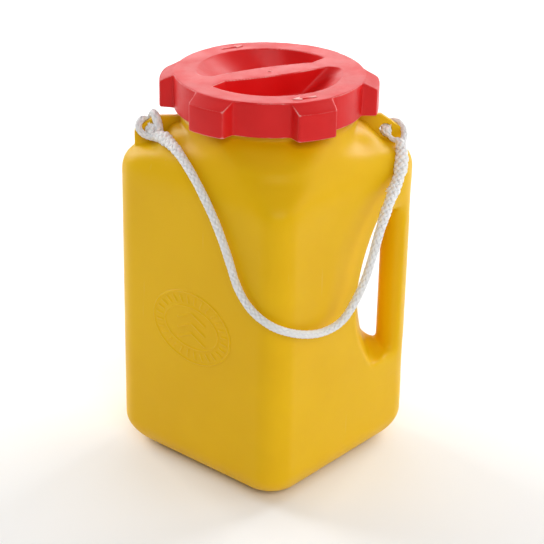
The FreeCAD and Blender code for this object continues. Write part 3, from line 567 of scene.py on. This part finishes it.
def softened(name, node, body, slot, voxel, roundings, share, prepare, reshape):
    """Stands for a CAD part: the same shape with the rounded edges that moulding leaves.

    prepare changes the CAD part's copy, and reshape what is remeshed from it. Each rounding is a
    number of smoothing passes and how much each point takes part in them. share is how many of
    the small faces are kept.
    """
    thing = remeshed(name, node, voxel, prepare)
    reshape(thing)
    for passes, weight_of in roundings:
        relaxed(thing, weight_of(points_of(thing.data)), passes)
    thinned(thing, share)
    thing.data.shade_smooth()
    dress(thing, slot)
    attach(thing, body)
    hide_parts(node)


# the cap's flat top, under its raised marks
CAP_TOP = SIZES["cad"][1][2] - 0.6 * MM
# the left face: how far it is from the middle, which way it looks, and a level line on it
FACE = 90 * MM
LEFT_FACE = Vector((-1, -1, 0)).normalized()
ALONG_FACE = Vector((1, -1, 0)).normalized()
# the badge's middle above the floor, its half width and half height, and the CAD oval's half height
BADGE_HEIGHT = 134 * MM
BADGE_HALF = (41.5 * MM, 30.8 * MM)
CAD_BADGE_HALF_HEIGHT = 34 * MM
# the circle where the cap's flat top ends, and where its lobes start and are full
CAP_CREASE = 75.6 * MM
LOBES = (77 * MM, 83.5 * MM)
LOBES_WIDER = 1.5 * MM
# the shoulder beside each lug: how much it is lifted, the radius plus height of its slope, and
# the most that the fill adds and the radius outside which it does
SHOULDER_LIFT = 1.6 * MM
SLOPE = 362.5 * MM
FILL_MOST = 13 * MM
FILL_INSIDE = 66 * MM


def flatten_badge(thing):
    """Takes the CAD part's raised oval off the left face, for a finer one to stand there."""
    points = points_of(thing.data)
    outwards = points @ np.array(LEFT_FACE) - FACE
    lifted = (outwards > 0) & (np.abs(points[:, 2] - BADGE_HEIGHT) < CAD_BADGE_HALF_HEIGHT + MM)
    points[lifted] -= outwards[lifted, None] * np.array(LEFT_FACE)
    put_points(thing.data, points)


def flatten_marks(thing):
    """Takes the CAD part's raised arrows off the cap, for finer ones to stand there."""
    points = points_of(thing.data)
    points[:, 2] = np.minimum(points[:, 2], CAP_TOP)
    put_points(thing.data, points)


def widen_lobes(thing):
    """Brings the cap's lobes out to their full width."""
    points = points_of(thing.data)
    radius = np.hypot(points[:, 0], points[:, 1])
    wider = 1 + LOBES_WIDER * smoothstep(radius, *LOBES) / np.maximum(radius, MM)
    points[:, :2] *= wider[:, None]
    put_points(thing.data, points)


def lift_shoulder(points):
    """Lifts the shoulder beside each lug a little."""
    out, side, height = np.abs(points[:, 0]), np.abs(points[:, 1]), points[:, 2]
    reach = band(out, 74 * MM, 78 * MM, 12 * MM)
    across = smoothstep(side, 2.2 * MM, 4.5 * MM) * (1 - smoothstep(side, 14 * MM, 30 * MM))
    upper = smoothstep(height, 250 * MM, 262 * MM) * (1 - smoothstep(height, 284 * MM, 292 * MM))
    points[:, 2] += SHOULDER_LIFT * reach * across * upper


def fill_corner(points):
    """Fills the corner under the neck beside each lug, up to a slope of 45 degrees.

    The fill fades out away from the lug, below the neck's finish and above the turn to the faces.
    """
    out, side, height = np.abs(points[:, 0]), np.abs(points[:, 1]), points[:, 2]
    radius = np.hypot(points[:, 0], points[:, 1])
    across = smoothstep(side, 3.4 * MM, 3.8 * MM) * (1 - smoothstep(side, 12 * MM, 36 * MM))
    upper = band(height, 266 * MM, 284.5 * MM, 2.5 * MM)
    upper *= smoothstep(out, 50 * MM, 58 * MM) * (radius > FILL_INSIDE)
    short = np.clip(SLOPE - height - radius, 0, FILL_MOST) * across * upper
    points[:, :2] *= (1 + short / np.maximum(radius, MM))[:, None]


def fill_shoulder(thing):
    """Brings the container's shoulder up beside its lugs."""
    points = points_of(thing.data)
    lift_shoulder(points)
    fill_corner(points)
    put_points(thing.data, points)


def body_rounding(points):
    """Full rounding up to the shoulder, little on the neck and lugs, which keep their size."""
    return 1 - 0.88 * smoothstep(points[:, 2], 262 * MM, 276 * MM)


def soft_places(points):
    """The grip's two ends, the turn from the faces to the shoulder, and the filled corners."""
    out, side, height = points[:, 0], np.abs(points[:, 1]), points[:, 2]
    ends = band(height, 208 * MM, 226 * MM, 11 * MM) + band(height, 60 * MM, 88 * MM, 11 * MM)
    grip = smoothstep(out, 96 * MM, 103 * MM) * ends
    off_lug = smoothstep(side, 3.5 * MM, 8 * MM) + 1 - smoothstep(np.abs(out), 62 * MM, 68 * MM)
    shoulder = band(height, 246 * MM, 270 * MM, 9 * MM) * np.minimum(off_lug, 1)
    corner = band(height, 262 * MM, 283.5 * MM, 3 * MM) * smoothstep(side, 4.5 * MM, 9 * MM)
    corner *= smoothstep(np.abs(out), 54 * MM, 62 * MM)
    return np.maximum(np.maximum(grip, shoulder), corner)


def cap_rounding(points):
    """Little rounding, except on the crease between the flat top and the lobes."""
    from_crease = np.hypot(points[:, 0], points[:, 1]) - CAP_CREASE
    crease = np.exp(-(from_crease / (2.5 * MM)) ** 2) * smoothstep(points[:, 2], 322 * MM, 324 * MM)
    return 0.35 + 0.65 * crease


softened("container_shell", "container_body", "container", "body_plastic", voxel=1.25 * MM,
         roundings=[(14, body_rounding), (110, soft_places)], share=0.225,
         prepare=flatten_badge, reshape=fill_shoulder)
softened("cap_shell", "screw_cap", "cap", "cap_plastic", voxel=0.65 * MM,
         roundings=[(14, cap_rounding)], share=0.34, prepare=flatten_marks, reshape=widen_lobes)


# ---------------------------------------------------------------- raised marks

# the badge: each rim's inset from the edge and half width, how many ticks it has and how far in
# their ends lie, its chevrons' heights and half width, and how far its lines stand up
RIMS = [(0.7 * MM, 0.35 * MM), (13 * MM, 0.1 * MM)]
TICKS = 28
TICK_INSETS = (4.2 * MM, 9.5 * MM)
CHEVRON_LEVELS = (-9 * MM, 0, 9 * MM)
CHEVRON_HALF = 14 * MM
RELIEF = 0.5 * MM
# the cap's marks: how far they go down into the cap's top and stand up from it
MARK_SUNK, MARK_RAISED = 0.4 * MM, 0.5 * MM
# an arrow's corners in millimetres, along it and across it, and how far out its middle lies
ARROW = [(-10, -1.1), (3, -1.1), (3, -3.2), (10, 0), (3, 3.2), (3, 1.1), (-10, 1.1)]
ARROW_RADIUS = 66.5 * MM
# the round mark that moulding leaves in the cap's middle
GATE_RADIUS, GATE_SIDES = 1.3 * MM, 24


def line_distance(across, up, start, end):
    """Distance of each point of a grid from a straight line's middle."""
    run = np.subtract(end, start)
    share = np.clip(((across - start[0]) * run[0] + (up - start[1]) * run[1]) / (run @ run), 0, 1)
    return np.hypot(across - start[0] - share * run[0], up - start[1] - share * run[1])


def badge_relief(across, up):
    """Height of the badge over its face: an oval rim, ticks inside it and three chevrons."""
    wide, tall = BADGE_HALF
    radial = np.hypot(across / wide, up / tall)
    slope = np.hypot(across / wide ** 2, up / tall ** 2) / np.maximum(radial, 1e-6)
    from_rim = (radial - 1) / slope
    gap = np.minimum(*[np.abs(from_rim + inset) - half for inset, half in RIMS])
    for step in range(TICKS):
        around = 2 * math.pi * (step + 0.5) / TICKS
        direction = np.array((math.cos(around) * wide, math.sin(around) * tall))
        reach = np.linalg.norm(direction)
        ends = [direction * (1 - inset / reach) for inset in TICK_INSETS]
        gap = np.minimum(gap, line_distance(across, up, *ends) - 0.45 * MM)
    for level in CHEVRON_LEVELS:
        for side in (-1, 1):
            ends = (0, level + 4 * MM), (side * CHEVRON_HALF, level - 3 * MM)
            gap = np.minimum(gap, line_distance(across, up, *ends) - 0.5 * MM)
    relief = RELIEF * (1 - smoothstep(gap, -0.05 * MM, 0.75 * MM))
    return 0.12 * MM + relief - 0.9 * MM * smoothstep(from_rim, 0.1 * MM, 1.0 * MM)


def grid_faces(rows, columns, kept):
    """Squares of a grid of points, only those whose four corners are kept."""
    faces = []
    for row in range(rows - 1):
        for column in range(columns - 1):
            first = row * columns + column
            corners = (first, first + 1, first + columns + 1, first + columns)
            if all(kept[corner] for corner in corners):
                faces.append(corners)
    return faces


def badge():
    """Generic raised oval on the left face."""
    step, margin = 0.4 * MM, 1.4 * MM
    across = np.arange(-BADGE_HALF[0] - margin, BADGE_HALF[0] + margin, step)
    up = np.arange(-BADGE_HALF[1] - margin, BADGE_HALF[1] + margin, step)
    grid_across, grid_up = [grid.ravel() for grid in np.meshgrid(across, up)]
    height = badge_relief(grid_across, grid_up)
    points = (np.outer(FACE + height, LEFT_FACE) + np.outer(grid_across, ALONG_FACE)
              + np.outer(grid_up + BADGE_HEIGHT, (0, 0, 1)))
    kept = np.hypot(grid_across / (BADGE_HALF[0] + margin), grid_up / (BADGE_HALF[1] + margin)) < 1
    mesh = mesh_from("body_badge", points, grid_faces(len(up), len(across), kept))
    thing = add_object("body_badge", cleaned(mesh, turn_out=False))
    dress(thing, "body_plastic")
    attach(thing, "container")


def cap_mark(name, outline, turn, radius):
    """Flat raised mark with rounded edges on the top of the cap, turned and out from its middle."""
    facing = Matrix.Rotation(math.radians(turn), 4, "Z")
    profile = ((0, -MARK_SUNK), (0, 0.4 * MARK_RAISED), (0.18 * MM, 0.85 * MARK_RAISED),
               (0.45 * MM, MARK_RAISED))
    rings = []
    for inset, level in profile:
        ring = []
        for x, y in outline:
            reach = math.hypot(x, y)
            share = 1 - inset / reach
            ring.append(facing @ Vector((radius + y * share, -x * share, CAP_TOP + level)))
        rings.append(ring)
    count = len(outline)
    points = [point for ring in rings for point in ring]
    faces = [(ring * count + k, ring * count + (k + 1) % count,
              (ring + 1) * count + (k + 1) % count, (ring + 1) * count + k)
             for ring in range(len(rings) - 1) for k in range(count)]
    faces.append(tuple(range((len(rings) - 1) * count, len(rings) * count)))
    thing = add_object(name, cleaned(mesh_from(name, points, faces)))
    thing.data.shade_flat()
    dress(thing, "cap_plastic")
    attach(thing, "cap")


badge()
arrow = [(x * MM, y * MM) for x, y in ARROW]
cap_mark("cap_arrow_back", arrow, 113, ARROW_RADIUS)
cap_mark("cap_arrow_front", arrow, -71, ARROW_RADIUS)
gate_angles = [2 * math.pi * k / GATE_SIDES for k in range(GATE_SIDES)]
gate = [(GATE_RADIUS * math.cos(angle), GATE_RADIUS * math.sin(angle)) for angle in gate_angles]
cap_mark("cap_gate_mark", gate, 0, 0)

dress(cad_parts["cap_gasket"], "seal_rubber")


# ---------------------------------------------------------------- studio

# name, place, width and height, and watts of each soft light; all of them aim at AIM
LIGHTS = [
    ("front", (0.2, -2.0, 1.6), (1.4, 1.0), 19), ("right", (1.7, -0.5, 0.9), (1.2, 1.2), 7),
    ("right_back", (1.5, 1.2, 1.1), (1.2, 1.2), 28), ("left_back", (-1.5, 1.2, 1.1), (1.2, 1.2), 31),
    ("back", (0, 1.9, 0.9), (1.6, 0.8), 11), ("top", (0, 0.2, 2.0), (1.6, 1.6), 2.6)]
AIM = Vector((0, 0, 0.16))
SKY = 0.25
FLOOR_HALF = 6.0


def panel(name, place, size, power):
    """Rectangular soft light."""
    data = bpy.data.lights.new(name, "AREA")
    data.shape = "RECTANGLE"
    data.size, data.size_y = size
    data.energy = power
    light = bpy.data.objects.new(name, data)
    light.location = place
    light.rotation_euler = (AIM - Vector(place)).to_track_quat("-Z", "Y").to_euler()
    bpy.context.scene.collection.objects.link(light)


def floor():
    """Pale matt floor with a hint of mottling."""
    half = FLOOR_HALF
    corners = [(-half, -half, 0), (half, -half, 0), (half, half, 0), (-half, half, 0)]
    mesh = mesh_from("floor", corners, [(0, 1, 2, 3)])
    thing = add_object("floor", mesh)
    shader = Shader("floor")
    colour = shader.mix(shader.noise(3, detail=4), (0.92, 0.92, 0.92), (0.95, 0.95, 0.95))
    mesh.materials.append(shader.finish(Base_Color=colour, Roughness=0.9))
    thing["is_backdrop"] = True


def studio():
    """Even white surroundings and the soft lights."""
    world = bpy.data.worlds.new("studio")
    world.use_nodes = True
    background = world.node_tree.nodes["Background"]
    background.inputs["Color"].default_value = (1, 1, 1, 1)
    background.inputs["Strength"].default_value = SKY
    bpy.context.scene.world = world
    for light in LIGHTS:
        panel(*light)
    bpy.context.scene.view_settings.view_transform = "Standard"


floor()
studio()

SIZES["visual"] = [list(corner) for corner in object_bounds()]
